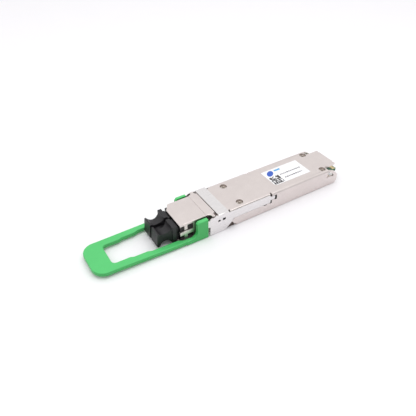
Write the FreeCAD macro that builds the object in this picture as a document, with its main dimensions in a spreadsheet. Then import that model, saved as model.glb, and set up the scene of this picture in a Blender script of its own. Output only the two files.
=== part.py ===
import FreeCAD, Part
import math
import os
import Sketcher
from FreeCAD import Placement, Rotation, Vector

# Pluggable optical transceiver module with duplex connector ports, a pull-to-release latch and a dust plug.
# Frame: millimetres, +X in the direction of insertion (towards the card edge), +Z up.
# Origin: on the underside, mid-width, in the plane where the module meets the front of its cage.

DIMENSIONS = {
    # metal shell
    "body_width": 18.35,
    "body_height": 8.5,
    "body_front": -7.0,
    "shell_rear": 57.4,
    "tongue_rear": 58.2,
    "tongue_half": 5.9,
    "shoulder": 51.8,
    "roof": 1.0,
    "parting": 1.2,
    "cavity_half": 8.3,
    "edge_radius": 1.0,
    "cheek_height": 4.4,
    "landing_rear": -0.9,
    "landing_drop": 0.1,
    "label_recess": 0.1,
    # cover screws
    "screw_radius": 0.8,
    "seat_gap": 0.15,
    "recess_reach": 0.85,
    "recess_width": 0.32,
    "head_radius": 1.35,
    "head_height": 0.75,
    "head_drop": 0.7,
    "boss_radius": 1.75,
    "boss_split": 3.0,
    "front_screw_x": 6.0,
    "front_screw_y": 5.94,
    "rear_screw_x": 50.0,
    "rear_screw_y": 6.5,
    # nose shell
    "nose_front": -22.0,
    "nose_half": 7.05,
    "nose_top": 9.4,
    "nose_wall": 0.75,
    "nose_roof_low": 8.6,
    "corner_cut_y": 2.4,
    "corner_cut_length": 2.8,
    "nose_screw_x": -9.2,
    "nose_screw_y": 5.2,
    "nose_screw_radius": 0.6,
    "nose_screw_head": 1.1,
    "lip_front": -10.4,
    "lip_rear": -6.6,
    "lip_thickness": 0.42,
    "ear_front": -8.6,
    "ear_rear": -7.45,
    "ear_half": 8.8,
    "ear_scoop": 1.75,
    # stamped latch slider
    "steel": 0.4,
    "collar_front": -5.95,
    "collar_rear": -1.2,
    "collar_top": 8.95,
    "flange_front": -10.3,
    "flange_outer": 9.35,
    "arm_outer": 9.175,
    "arm_low": 4.3,
    "arm_top": 8.1,
    "arm_end": 19.6,
    "prong_end": 21.9,
    "prong_low": 5.6,
    "prong_top": 7.3,
    "lug_x": 13.6,
    "window_low": 5.75,
    "front_window_x": -6.3,
    "front_window_length": 1.1,
    "front_window_height": 0.9,
    "rear_window_x": -4.2,
    "rear_window_length": 1.4,
    "rear_window_height": 1.05,
    "vee_x": 0.35,
    "vee_top": 2.95,
    "vee_foot": 2.75,
    # return springs
    "spring_start": 4.05,
    "spring_radius": 0.5,
    "spring_wire": 0.11,
    "spring_pitch": 1.0,
    "spring_y": 8.05,
    "spring_z": 6.1,
    # pull tab
    "tab_end": -56.9,
    "grip": 7.7,
    "tab_half": 8.6,
    "tab_root_half": 9.3,
    "tab_thickness": 1.8,
    "tab_rise_deg": 1.2,
    "block_front": -15.6,
    "block_rear": -10.9,
    "block_top": 9.15,
    "block_inner": 7.9,
    "block_outer": 9.45,
    "block_round": 0.55,
    # duplex connector ports
    "port_pitch": 6.25,
    "port_axis_z": 4.7,
    "port_half": 2.35,
    "ferrule_radius": 0.625,
    "sleeve_radius": 0.81,
    "barrel_radius": 1.55,
    "barrel_front": -17.5,
    "sleeve_front": -17.0,
    "stub_front": -12.6,
    "stub_radius": 1.0,
    "mouth_radius": 0.95,
    # dust plug
    "plug_front": -31.3,
    "plug_half": 5.6,
    "plug_low": 0.9,
    "plug_top": 8.95,
    "plug_gap": 1.2,
    "grip_low": 1.6,
    "grip_top": 7.95,
    "grip_lean": 0.5,
    "plug_flange_front": -24.8,
    "plug_flange_back": -23.2,
    "plug_flange_rear": -22.2,
    "plug_flange_half": 6.2,
    "scoop_front": -30.2,
    "scoop_depth": 1.45,
    "scoop_front_radius": 3.15,
    "scoop_rear_radius": 2.9,
    "waist_outside": 6.2,
    "waist_inside": 4.4,
    "prong_depth": 8.4,
    "prong_half": 2.2,
    "prong_half_height": 2.4,
    "prong_bore": 1.85,
    # circuit board
    "board_front": 8.5,
    "board_rear": 60.0,
    "board_half": 8.1,
    "tail_front": 51.0,
    "tail_half": 5.9,
    "board_low": 3.8,
    "board_thickness": 1.0,
    "pad_pitch": 0.8,
    "pad_width": 0.54,
    "pad_length": 1.8,
    "pad_setback": 0.3,
    # label
    "label_front": 25.0,
    "label_rear": 44.4,
    "label_half": 5.2,
    "label_cut": 0.9,
    # optics clamp
    "clamp_front": -11.2,
    "clamp_rear": -8.0,
    "clamp_half": 5.6,
    "clamp_screw_x": -9.6,
}

SCREW_SIDES = (-1, 1)
PADS_PER_ROW = 14

doc = FreeCAD.newDocument("optical_transceiver")
sheet = doc.addObject("Spreadsheet::Sheet", "Dims")
subparts = []


class Size:
    """A length that carries its value and the sheet expression that it comes from."""

    def __init__(self, value, text):
        self.value = value
        self.text = text

    def joined(self, other, sign, value):
        return Size(value, f"({self.text} {sign} {other.text})")

    def __add__(self, other):
        other = as_size(other)
        return self.joined(other, "+", self.value + other.value)

    def __sub__(self, other):
        other = as_size(other)
        return self.joined(other, "-", self.value - other.value)

    def __mul__(self, other):
        other = as_size(other)
        return self.joined(other, "*", self.value * other.value)

    def __truediv__(self, other):
        other = as_size(other)
        return self.joined(other, "/", self.value / other.value)

    def __radd__(self, other):
        return as_size(other) + self

    def __rsub__(self, other):
        return as_size(other) - self

    def __rmul__(self, other):
        return as_size(other) * self

    def __neg__(self):
        return Size(-self.value, f"(0 - {self.text})")


def as_size(number):
    if isinstance(number, Size):
        return number
    return Size(float(number), f"({float(number)})")


def fill_sheet():
    """Write every driving dimension into the sheet, with its name beside it."""
    for row, (alias, value) in enumerate(DIMENSIONS.items(), start=1):
        sheet.set(f"A{row}", alias)
        sheet.set(f"B{row}", str(value))
        sheet.setAlias(f"B{row}", alias)
    doc.recompute()


class Dimensions:
    """Gives each sheet dimension by its name, as a Size."""

    def __getattr__(self, alias):
        return Size(DIMENSIONS[alias], f"Dims.{alias}")


dim = Dimensions()


def bind(thing, path, size):
    thing.setExpression(path, as_size(size).text)


def name_subpart(thing, label, spot=None):
    """Register a finished sub-part under its node name, at its place in the module."""
    thing.Label = label
    if spot:
        for axis, position in zip("xyz", spot):
            bind(thing, f"Placement.Base.{axis}", position)
    subparts.append(thing)
    return thing


# ---------------------------------------------------------------- Part primitives and booleans

def box(name, x, y, z):
    """A box between the low and high position on each axis."""
    made = doc.addObject("Part::Box", name)
    for path, (low, high) in (("Length", x), ("Width", y), ("Height", z)):
        bind(made, path, as_size(high) - low)
    for path, (low, high) in (("x", x), ("y", y), ("z", z)):
        bind(made, f"Placement.Base.{path}", low)
    return made


def cylinder(name, radius, start, end, centre, axis="x"):
    """A cylinder along an axis; centre gives its place across that axis."""
    made = doc.addObject("Part::Cylinder", name)
    bind(made, "Radius", radius)
    bind(made, "Height", as_size(end) - start)
    if axis == "x":
        made.Placement = Placement(Vector(), Rotation(Vector(0, 1, 0), 90))
        place = (start, centre[0], centre[1])
    else:
        place = (centre[0], centre[1], start)
    for letter, position in zip("xyz", place):
        bind(made, f"Placement.Base.{letter}", position)
    return made


def fuse(name, *shapes):
    made = doc.addObject("Part::MultiFuse", name)
    made.Shapes = list(shapes)
    made.Refine = True
    return made


def cut(name, base, *tools):
    made = doc.addObject("Part::Cut", name)
    made.Base = base
    made.Tool = tools[0] if len(tools) == 1 else fuse(f"{name}_tools", *tools)
    return made


def group(name, solids):
    """Separate solids that share one node."""
    made = doc.addObject("Part::Compound", name)
    made.Links = list(solids)
    return made


# ---------------------------------------------------------------- PartDesign bodies

def arc_centre(start, end, radius):
    """Centre of the arc from start to end; a positive radius puts it to the left of the travel."""
    middle = (start + end) * 0.5
    chord = end - start
    left = Vector(-chord.y, chord.x, 0).normalize()
    depth = math.sqrt(max(radius * radius - chord.Length * chord.Length / 4, 0.0))
    return middle + left * math.copysign(depth, radius)


def arc_edge(start, end, radius):
    centre = arc_centre(start, end, radius)
    circle = Part.Circle(centre, Vector(0, 0, 1), abs(radius))
    first, last = (start, end) if radius > 0 else (end, start)
    return Part.ArcOfCircle(circle, circle.parameter(first), circle.parameter(last))


def draw_outline(sketch, points):
    """Draw a closed outline. A point is (x, y), or (x, y, radius) where the edge that leaves it is an arc."""
    corners = [Vector(as_size(p[0]).value, as_size(p[1]).value, 0) for p in points]
    ends = []
    for index, point in enumerate(points):
        start, end = corners[index], corners[(index + 1) % len(points)]
        radius = as_size(point[2]).value if len(point) > 2 else 0
        edge = arc_edge(start, end, radius) if radius else Part.LineSegment(start, end)
        number = sketch.addGeometry(edge)
        ends.append((number, 1, 2) if radius >= 0 else (number, 2, 1))
        if radius:
            rule = sketch.addConstraint(Sketcher.Constraint("Radius", number, abs(radius)))
            bind(sketch, f"Constraints[{rule}]", point[2] if radius > 0 else -as_size(point[2]))
    for index, point in enumerate(points):
        number, first, last = ends[index]
        following, following_first, _ = ends[(index + 1) % len(points)]
        sketch.addConstraint(Sketcher.Constraint("Coincident", number, last, following, following_first))
        for kind, position in (("DistanceX", point[0]), ("DistanceY", point[1])):
            value = as_size(position).value
            rule = sketch.addConstraint(Sketcher.Constraint(kind, number, first, value))
            bind(sketch, f"Constraints[{rule}]", position)


def draw_circle(sketch, x, y, radius):
    centre = Vector(as_size(x).value, as_size(y).value, 0)
    size = as_size(radius).value
    number = sketch.addGeometry(Part.Circle(centre, Vector(0, 0, 1), size))
    for kind, position in (("DistanceX", x), ("DistanceY", y)):
        rule = sketch.addConstraint(Sketcher.Constraint(kind, number, 3, as_size(position).value))
        bind(sketch, f"Constraints[{rule}]", position)
    rule = sketch.addConstraint(Sketcher.Constraint("Radius", number, size))
    bind(sketch, f"Constraints[{rule}]", radius)


def rectangle(x, y):
    return [(x[0], y[0]), (x[1], y[0]), (x[1], y[1]), (x[0], y[1])]


class Casting:
    """A PartDesign body built up from sketches on its own origin planes.

    A sketch on XY is drawn in x and y, one on XZ in x and z, and one on YZ in y and z.
    """

    def __init__(self, label):
        self.body = doc.addObject("PartDesign::Body", label)
        self.label = label
        self.steps = 0
        self.pockets = []

    def sketch(self, plane, height, outlines, circles, tilt_deg=None):
        self.steps += 1
        made = self.body.newObject("Sketcher::SketchObject", f"{self.label}_sketch_{self.steps}")
        origin_plane = next(item for item in self.body.Origin.OriginFeatures if item.Role == f"{plane}_Plane")
        made.AttachmentSupport = [(origin_plane, "")]
        made.MapMode = "FlatFace"
        if tilt_deg:
            made.AttachmentOffset = Placement(Vector(), Rotation(Vector(0, 1, 0), tilt_deg.value))
        bind(made, "AttachmentOffset.Base.z", height)
        for outline in outlines:
            draw_outline(made, outline)
        for circle in circles:
            draw_circle(made, *circle)
        return made

    def feature(self, kind, profile, length):
        made = self.body.newObject(f"PartDesign::{kind}", f"{self.label}_{kind.lower()}_{self.steps}")
        made.Profile = profile
        bind(made, "Length", length)
        profile.Visibility = False
        return made

    def pad(self, plane, outlines, low, high, circles=(), tilt_deg=None):
        """Add material between two positions along the plane's axis."""
        low, high = as_size(low), as_size(high)
        height = -high if plane == "XZ" else low
        profile = self.sketch(plane, height, outlines, circles, tilt_deg)
        return self.feature("Pad", profile, high - low)

    def pocket(self, plane, outlines, low, high, circles=()):
        """Remove material between two positions along the plane's axis."""
        low, high = as_size(low), as_size(high)
        height = -low if plane == "XZ" else high
        before = self.body.Tip
        profile = self.sketch(plane, height, outlines, circles)
        made = self.feature("Pocket", profile, high - low)
        self.pockets.append((before, made))
        return made

    def round_edges(self, kind, size, wanted):
        """Fillet or chamfer the edges of the latest shape that a test picks."""
        doc.recompute()
        tip = self.body.Tip
        names = [f"Edge{n}" for n, edge in enumerate(tip.Shape.Edges, start=1) if wanted(edge)]
        self.steps += 1
        made = self.body.newObject(f"PartDesign::{kind}", f"{self.label}_{kind.lower()}_{self.steps}")
        made.Base = (tip, names)
        bind(made, "Radius" if kind == "Fillet" else "Size", size)
        return made

    def finish(self):
        """Check that every pocket took material away, and register the body."""
        doc.recompute()
        for before, after in self.pockets:
            if after.Shape.Volume >= before.Shape.Volume - 1e-6:
                raise RuntimeError(f"{after.Name} removes nothing")
        return name_subpart(self.body, self.label)


def both_sides(low, high):
    """The same stretch of y on the right and on the left of the module."""
    return ((-as_size(high), -as_size(low)), (as_size(low), as_size(high)))


def screw_places():
    for side in SCREW_SIDES:
        yield dim.front_screw_x, dim.front_screw_y * side
        yield dim.rear_screw_x, dim.rear_screw_y * side


def nose_screw_places():
    return [(dim.nose_screw_x, dim.nose_screw_y * side) for side in SCREW_SIDES]


def cover_section(half, low, top, radius):
    """Box section, in y and z, with rounded top corners."""
    return [
        (-half, low),
        (half, low),
        (half, top - radius, radius),
        (half - radius, top),
        (radius - half, top, radius),
        (-half, top - radius),
    ]


def slider_recess():
    """Outline, in x and z, of the side recess that the latch slider runs in."""
    end = dim.arm_end + 0.5
    return [
        (dim.body_front - 1, -0.5),
        (2.9, -0.5),
        (0.5, 3.05),
        (1.6, dim.arm_low - 0.1),
        (end, dim.arm_low - 0.1),
        (end, dim.prong_low - 0.12),
        (dim.prong_end + 0.7, dim.prong_low - 0.12),
        (dim.prong_end + 0.7, dim.prong_top + 0.12),
        (end, dim.prong_top + 0.12),
        (end, dim.body_height + 1),
        (dim.body_front - 1, dim.body_height + 1),
    ]


def side_vee():
    """V-shaped relief, in x and z, under the diagonal end of the slider's side plate."""
    return [(0.05 - dim.vee_foot, -0.5), (dim.vee_foot, -0.5), (dim.vee_x, dim.vee_top)]


def slider_gaps():
    """Stretches, in x and z, of the side openings behind the slider's windows and round its arm's end."""
    return [
        (
            (dim.front_window_x - 0.2, dim.rear_window_x + dim.rear_window_length + 0.2),
            (dim.window_low - 0.35, dim.window_low + dim.rear_window_height + 0.2),
        ),
        ((16.3, 17.7), (dim.arm_low - 0.4, dim.arm_low + 0.3)),
        ((dim.arm_end - 0.2, dim.arm_end + 0.75), (dim.arm_low - 0.45, dim.prong_low + 0.1)),
        ((dim.prong_end, dim.prong_end + 1.0), (dim.prong_low - 0.55, dim.prong_top - 0.1)),
    ]


def gap_section(side, low, high):
    """Section, in y and z, of a side opening whose sill falls away inwards, for the right or the left."""
    inside = (dim.cavity_half - 0.1) * side
    outside = (dim.body_width / 2 + 1) * side
    return [(inside, low - 0.9), (outside, low + 0.9), (outside, high), (inside, high)]


def cheek_cut():
    """What is taken off the rear of each side wall, in x and z: a large round down to the card mouth."""
    return [
        (dim.shoulder, dim.body_height + 1),
        (dim.shoulder, dim.body_height - 0.3, -7.2),
        (dim.shell_rear, dim.cheek_height),
        (dim.shell_rear, 0.5),
        (dim.tongue_rear + 1, 0.5),
        (dim.tongue_rear + 1, dim.body_height + 1),
    ]


def cheek_window():
    """Lens-shaped opening through the rear of each side wall, in x and z."""
    left = dim.shoulder - 1.1
    return [
        (left, dim.cheek_height + 0.35),
        (left + 4.6, dim.cheek_height + 0.3, 6.6),
        (left + 1.2, dim.cheek_height + 3.1),
    ]


def make_upper_housing():
    """Die-cast cover: roof, both side walls, screw bosses and the rear tongue over the card edge."""
    half = dim.body_width / 2
    cover = Casting("upper_housing")
    section = cover_section(half, dim.parting, dim.body_height, dim.edge_radius)
    cover.pad("YZ", [section], dim.body_front, dim.tongue_rear)
    inside = rectangle((-dim.cavity_half, dim.cavity_half), (dim.parting - 1, dim.body_height - dim.roof))
    cover.pocket("YZ", [inside], dim.body_front - 1, dim.tongue_rear + 1)
    bosses = [(x, y, dim.boss_radius) for x, y in screw_places()]
    cover.pad("XY", [], dim.boss_split, dim.body_height - dim.roof / 2, bosses)
    for low, high in both_sides(7.05, dim.cavity_half + 0.1):
        cover.pad("XY", [rectangle((2.8, 16.2), (low, high))], 5.0, dim.body_height - dim.roof / 2)
    for low, high in both_sides(dim.arm_outer - dim.steel - 0.055, half + 1):
        cover.pocket("XZ", [slider_recess()], low, high)
    for low, high in both_sides(dim.spring_y - 0.7, half):
        channel = rectangle((dim.spring_start - 0.05, dim.lug_x + 1.6), (dim.spring_z - 0.75, dim.spring_z + 0.75))
        cover.pocket("XZ", [channel], low, high)
    for low, high in both_sides(dim.tongue_half, dim.cavity_half):
        corner = rectangle((dim.shoulder, dim.tongue_rear + 1), (low, high))
        cover.pocket("XY", [corner], dim.body_height - dim.roof - 1, dim.body_height + 1)
    for low, high in both_sides(dim.cavity_half - 0.05, half + 1):
        cover.pocket("XZ", [cheek_cut()], low, high)
        cover.pocket("XZ", [cheek_window()], low, high)
    for low, high in both_sides(dim.tongue_half - 1.5, dim.tongue_half - 0.7):
        notch = rectangle((dim.tongue_rear - 0.35, dim.tongue_rear + 1), (low, high))
        cover.pocket("XY", [notch], dim.body_height - 0.3, dim.body_height + 1)
    seats = [(x, y, dim.head_radius + dim.seat_gap) for x, y in screw_places()]
    cover.pocket("XY", [], dim.body_height - dim.head_height - dim.head_drop, dim.body_height + 1, seats)
    shanks = [(x, y, dim.screw_radius + 0.06) for x, y in screw_places()]
    cover.pocket("XY", [], dim.boss_split - 1, dim.body_height, shanks)
    half_seat = dim.label_half + 0.1
    label_seat = rectangle((dim.label_front - 0.1, dim.label_rear + 0.1), (-half_seat, half_seat))
    cover.pocket("XY", [label_seat], dim.body_height - dim.label_recess, dim.body_height + 1)
    landing = rectangle((dim.body_front - 1, dim.landing_rear), (-half - 1, half + 1))
    cover.pocket("XY", [landing], dim.body_height - dim.landing_drop, dim.body_height + 1)
    within = dim.cavity_half - 0.1
    groove = rectangle((dim.body_front - 1, dim.collar_front + 0.3), (-within, within))
    cover.pocket("XY", [groove], dim.body_height - dim.roof - 0.5, dim.body_height + 1)
    for low, high in both_sides(dim.cavity_half - 0.1, half + 1):
        cover.pocket("XZ", [side_vee()], low, high)
    for x, z in slider_gaps():
        cover.pocket("YZ", [gap_section(-1, *z), gap_section(1, *z)], *x)
    for low, high in both_sides(dim.cavity_half - 0.4, half + 1):
        corner_gaps = [
            rectangle((-1.6, -0.2), (7.0, dim.body_height + 1)),
            rectangle((dim.arm_end, dim.arm_end + 0.75), (dim.prong_top - 0.9, dim.body_height + 1)),
        ]
        cover.pocket("XZ", corner_gaps, low, high)
    return cover.finish()


def floor_outline():
    """Plan of the lower housing: narrow under the nose, full width inside the cage."""
    half = dim.body_width / 2
    inner = dim.arm_outer - dim.steel - 0.055
    right = [
        (dim.nose_front, -dim.nose_half),
        (dim.body_front, -dim.nose_half),
        (dim.body_front, -inner),
        (2.6, -inner),
        (2.6, -half),
        (dim.shell_rear - 0.4, -half),
        (dim.shell_rear, 0.4 - half),
    ]
    return right + [(x, -y) for x, y in reversed(right)]


def make_lower_housing():
    """Die-cast base: floor, front bulkhead, board rails and threaded screw bosses."""
    half = dim.body_width / 2
    base = Casting("lower_housing")
    base.pad("XY", [floor_outline()], 0, dim.parting)

    def long_lower_edge(edge):
        along = edge.BoundBox.XLength > 40
        return along and edge.BoundBox.ZMax < 0.01

    base.round_edges("Fillet", 0.5, long_lower_edge)
    beyond = dim.shell_rear + 0.5
    lead_in = [(dim.shell_rear - 2.0, -0.5), (beyond, -0.5), (beyond, dim.parting)]
    base.pocket("XZ", [lead_in], -half - 1, half + 1)
    for low, high in both_sides(7.4, half + 1):
        base.pocket("XZ", [side_vee()], low, high)
    within = dim.cavity_half - 0.1
    bulkhead = rectangle((dim.body_front, dim.body_front + 1.4), (-within, within))
    base.pad("XY", [bulkhead], dim.parting - 0.5, dim.body_height - dim.roof - 0.05)
    for low, high in both_sides(dim.board_half - 0.7, dim.board_half):
        base.pad("XY", [rectangle((9.5, 47.0), (low, high))], dim.parting - 0.5, dim.board_low)
    bosses = [(x, y, dim.boss_radius) for x, y in screw_places()]
    base.pad("XY", [], dim.parting - 0.5, dim.boss_split, bosses)
    base.pad("XY", [rectangle((22.0, 34.0), (-4.0, 4.0))], dim.parting - 0.5, dim.board_low - 1.5)
    threads = [(x, y, dim.screw_radius) for x, y in screw_places()]
    base.pocket("XY", [], 0.45, dim.boss_split + 1, threads)
    ports = [(side * dim.port_pitch / 2, dim.port_axis_z, dim.barrel_radius + 0.05) for side in SCREW_SIDES]
    base.pocket("YZ", [], dim.body_front - 1, dim.body_front + 2, ports)
    for low, high in both_sides(half - 0.65, half - 0.3):
        base.pocket("XY", [rectangle((24.0, 48.0), (low, high))], dim.parting - 0.3, dim.parting + 1)
    clamp_hole = [(dim.clamp_screw_x, 0, 0.6)]
    base.pocket("XY", [], 0.35, dim.parting + 1, clamp_hole)
    nose_holes = [(x, y, dim.nose_screw_radius + 0.05) for x, y in nose_screw_places()]
    base.pocket("XY", [], -1, dim.parting + 1, nose_holes)
    nose_seats = [(x, y, dim.nose_screw_head + 0.05) for x, y in nose_screw_places()]
    base.pocket("XY", [], -1, 0.65, nose_seats)
    return base.finish()


def lip_ear():
    """Plan of the lip's left ear, which reaches out to the slider behind a round scoop."""
    root = dim.nose_half - 0.5
    return [
        (dim.ear_front - dim.ear_scoop, root),
        (dim.ear_rear, root),
        (dim.ear_rear, dim.ear_half),
        (dim.ear_front, dim.ear_half, -dim.ear_scoop),
        (dim.ear_front - dim.ear_scoop, dim.nose_half),
    ]


def mirrored_ear():
    """The same ear listed the other way round, for drawing on the right."""
    root = dim.nose_half - 0.5
    return [
        (dim.ear_front - dim.ear_scoop, dim.nose_half, -dim.ear_scoop),
        (dim.ear_front, dim.ear_half),
        (dim.ear_rear, dim.ear_half),
        (dim.ear_rear, root),
        (dim.ear_front - dim.ear_scoop, root),
    ]


def make_nose_shell():
    """Thin shell around the connector ports, with windowed sides and a lip over the slider's collar."""
    nose = Casting("nose_shell")
    section = cover_section(dim.nose_half, dim.parting, dim.nose_top, as_size(0.35))
    nose.pad("YZ", [section], dim.nose_front, dim.lip_rear)
    inner = dim.nose_half - dim.nose_wall
    hollow = rectangle((-inner, inner), (dim.parting - 1, dim.nose_roof_low))
    nose.pocket("YZ", [hollow], dim.nose_front - 1, dim.lip_rear + 1)
    wide = dim.nose_half + 1
    slot = rectangle((dim.lip_front, dim.lip_rear + 1), (8.45, dim.nose_top - dim.lip_thickness))
    nose.pocket("XZ", [slot], -wide, wide)
    below_lip = rectangle((dim.body_front - 0.02, dim.lip_rear + 1), (0.5, 8.5))
    nose.pocket("XZ", [below_lip], -wide, wide)
    groove = rectangle((dim.lip_front - 0.1, dim.lip_front + 0.08), (dim.nose_top - 0.12, dim.nose_top + 1))
    nose.pocket("XZ", [groove], -wide, wide)
    for ear in (lip_ear(), [(x, -as_size(y), *arc) for x, y, *arc in mirrored_ear()]):
        nose.pad("XY", [ear], dim.nose_top - dim.lip_thickness, dim.nose_top - 0.02)
    bevel = [
        (dim.nose_front - 0.5, dim.nose_top - 0.38),
        (dim.nose_front + 1.7, dim.nose_top + 0.01),
        (dim.nose_front + 1.7, dim.nose_top + 0.5),
        (dim.nose_front - 0.5, dim.nose_top + 0.5),
    ]
    nose.pocket("XZ", [bevel], -wide, wide)
    columns = ((dim.nose_front - 0.5, dim.nose_front + 1.9), (dim.nose_front + 3.2, dim.nose_front + 5.75))
    rows = ((1.35, 3.95), (5.7, 8.55))
    bridge = rectangle((dim.nose_front + 1.8, dim.nose_front + 3.3), (5.95, 6.4))
    for low, high in both_sides(inner - 0.1, wide):
        nose.pocket("XZ", [bridge], low, high)
        for column in columns:
            for row in rows:
                nose.pocket("XZ", [rectangle(column, row)], low, high)
    corner_end = dim.nose_front + dim.corner_cut_length
    corner_cut = [(dim.nose_front - 1, dim.corner_cut_y), (corner_end, wide), (dim.nose_front - 1, wide)]
    nose.pocket("XY", [corner_cut], 4.0, dim.nose_top + 1)
    for low, high in both_sides(4.3, inner + 0.1):
        nose.pad("XY", [rectangle((-10.6, -7.8), (low, high))], dim.parting, 3.2)
    nose.pocket("XY", [], 0.5, 2.8, [(x, y, dim.nose_screw_radius) for x, y in nose_screw_places()])
    return nose.finish()


def flange_outline():
    """Wide side plate of the slider, in x and z, from the pull tab to the diagonal bend."""
    return [
        (dim.flange_front, 4.6),
        (dim.flange_front + 0.4, 4.6),
        (dim.flange_front + 0.4, 0.15),
        (-2.9, 0.15),
        (0.1, 2.9),
        (1.0, 4.35),
        (-0.9, 8.0),
        (-1.2, dim.collar_top - 0.2),
        (dim.collar_front, dim.collar_top - 0.2),
        (dim.flange_front + 1.0, 8.7),
        (dim.flange_front, 7.9),
    ]


def arm_outline():
    """Slim side arm with its latch prong, in x and z."""
    return [
        (-1.6, dim.arm_low + 1.2),
        (0.4, dim.arm_low),
        (dim.arm_end, dim.arm_low),
        (dim.arm_end, dim.prong_low),
        (dim.prong_end - 0.4, dim.prong_low),
        (dim.prong_end, dim.prong_low + 0.4),
        (dim.prong_end, dim.prong_top - 0.4),
        (dim.prong_end - 0.4, dim.prong_top),
        (dim.arm_end, dim.prong_top),
        (dim.arm_end - 0.5, dim.arm_top),
        (-1.6, dim.arm_top),
    ]


def slider_windows():
    """The two small windows in each side plate of the slider, in x and z."""
    front, rear, low = dim.front_window_x, dim.rear_window_x, dim.window_low
    return [
        rectangle((front, front + dim.front_window_length), (low, low + dim.front_window_height)),
        rectangle((rear, rear + dim.rear_window_length), (low, low + dim.rear_window_height)),
    ]


def make_latch_slider():
    """Stamped steel slider: a collar over the shell, two side plates and two arms with latch prongs."""
    slider = Casting("latch_slider")
    outer = dim.flange_outer
    low = dim.collar_top - dim.steel
    bridge = [
        (-outer, low - 0.6),
        (dim.steel - outer, low - 0.6),
        (dim.steel - outer, low - 0.2, -0.2),
        (dim.steel - outer + 0.2, low),
        (outer - dim.steel - 0.2, low, -0.2),
        (outer - dim.steel, low - 0.2),
        (outer - dim.steel, low - 0.6),
        (outer, low - 0.6),
        (outer, low - 0.2, 0.6),
        (outer - 0.6, dim.collar_top),
        (0.6 - outer, dim.collar_top, 0.6),
        (-outer, low - 0.2),
    ]
    slider.pad("YZ", [bridge], dim.collar_front, dim.collar_rear)
    for low, high in both_sides(outer - dim.steel, outer):
        slider.pad("XZ", [flange_outline()], low, high)
        insert = rectangle((dim.block_front + 1.1, dim.flange_front + 0.2), (4.7, 7.8))
        slider.pad("XZ", [insert], low, high)
    for low, high in both_sides(dim.arm_outer - dim.steel, dim.arm_outer):
        slider.pad("XZ", [arm_outline()], low, high)
    for low, high in both_sides(7.5, dim.arm_outer - dim.steel / 2):
        lug = rectangle((dim.lug_x, dim.lug_x + 0.45), (dim.spring_z - 0.6, dim.spring_z + 0.6))
        slider.pad("XZ", [lug], low, high)
    for low, high in both_sides(outer - 1, outer + 1):
        slider.pocket("XZ", slider_windows(), low, high)
    return slider.finish()


def tab_edge():
    """One long side of the pull tab in plan: the outer edge and the stepped inner edge, front to rear."""
    outer = [(-50.0, dim.tab_half), (-24.0, dim.tab_root_half), (dim.block_front - 1.0, dim.tab_root_half)]
    inner = [
        (dim.block_front - 1.0, dim.block_inner),
        (-21.4, dim.block_inner),
        (-23.6, 6.65),
        (-33.8, 6.55),
        (-35.4, 5.95),
        (-41.2, 5.85),
        (-42.2, 5.35),
    ]
    return outer, inner


def tab_plan():
    """Plan of the loop: a rounded grip at the end and two arms that widen towards the module."""
    outer, inner = tab_edge()
    corner = 5.0
    grip_rear = dim.tab_end + dim.grip
    inner_half = 5.35
    bend = 1.6
    far = [(dim.tab_end, dim.tab_half - corner, -corner), (dim.tab_end + corner, dim.tab_half)]
    far += outer + inner
    far += [(grip_rear + bend, inner_half, bend), (grip_rear, inner_half - bend)]
    near = [
        (grip_rear, bend - inner_half, bend),
        (grip_rear + bend, -inner_half),
    ]
    near += [(x, -as_size(y)) for x, y in reversed(inner)]
    near += [(x, -as_size(y)) for x, y in reversed(outer)]
    near += [(dim.tab_end + corner, -dim.tab_half, -corner), (dim.tab_end, corner - dim.tab_half)]
    return far + near


def block_outline():
    """Side view of the block at the root of each arm, in x and z, with the fillet that runs into the arm."""
    rise = 0.33
    top = dim.tab_thickness + rise
    return [
        (-20.5, rise + 0.15),
        (dim.block_rear, rise - 0.1),
        (dim.block_rear, dim.block_top),
        (dim.block_front + 0.7, dim.block_top),
        (dim.block_front, dim.block_top - 0.7),
        (dim.block_front, top + 2.6, -2.6),
        (dim.block_front - 2.6, top),
        (-20.5, top),
    ]


def make_pull_tab():
    """Soft moulded pull loop whose blocks are moulded over the slider's front tongues."""
    tab = Casting("pull_tab")
    tab.pad("XY", [tab_plan()], 0, dim.tab_thickness, tilt_deg=dim.tab_rise_deg)

    def around_the_loop(edge):
        middle = edge.CenterOfMass
        level = edge.BoundBox.ZLength < 0.03 * max(edge.BoundBox.XLength, edge.BoundBox.YLength) + 0.02
        return level and middle.x < -24

    tab.round_edges("Fillet", 0.4, around_the_loop)
    for low, high in both_sides(dim.block_inner, dim.block_outer):
        tab.pad("XZ", [block_outline()], low, high)

    def outer_top_edges(edge):
        middle = edge.CenterOfMass
        outside = abs(middle.y) > dim.block_outer.value - 0.02
        return outside and middle.z > dim.block_top.value - 0.8

    tab.round_edges("Fillet", dim.block_round, outer_top_edges)
    for low, high in both_sides(dim.flange_outer - dim.steel, dim.flange_outer):
        tongue = rectangle((dim.block_front + 1.1, dim.block_rear + 1), (4.7, 7.8))
        tab.pocket("XZ", [tongue], low, high)
    return tab.finish()


def grip_profile():
    """Side view of the plug's finger grip, in x and z: an hourglass between a front wall and a flange."""
    front, rear = dim.scoop_front, dim.plug_flange_front
    lowest = (front + rear) / 2 - 0.2
    bottom = dim.grip_low + dim.scoop_depth
    top = dim.grip_top - dim.scoop_depth
    return [
        (dim.plug_front + 0.3, dim.grip_low),
        (front, dim.grip_low, -dim.scoop_front_radius),
        (lowest, bottom, -dim.scoop_rear_radius),
        (rear, dim.plug_low + 0.3),
        (rear + 0.5, dim.plug_low + 0.3),
        (rear + 0.5, dim.plug_top - 0.3),
        (rear, dim.plug_top - 0.3, -dim.scoop_rear_radius),
        (lowest, top, -dim.scoop_front_radius),
        (front, dim.grip_top),
        (dim.plug_front + dim.grip_lean, dim.grip_top),
        (dim.plug_front, dim.grip_low + 0.4),
    ]


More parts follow.
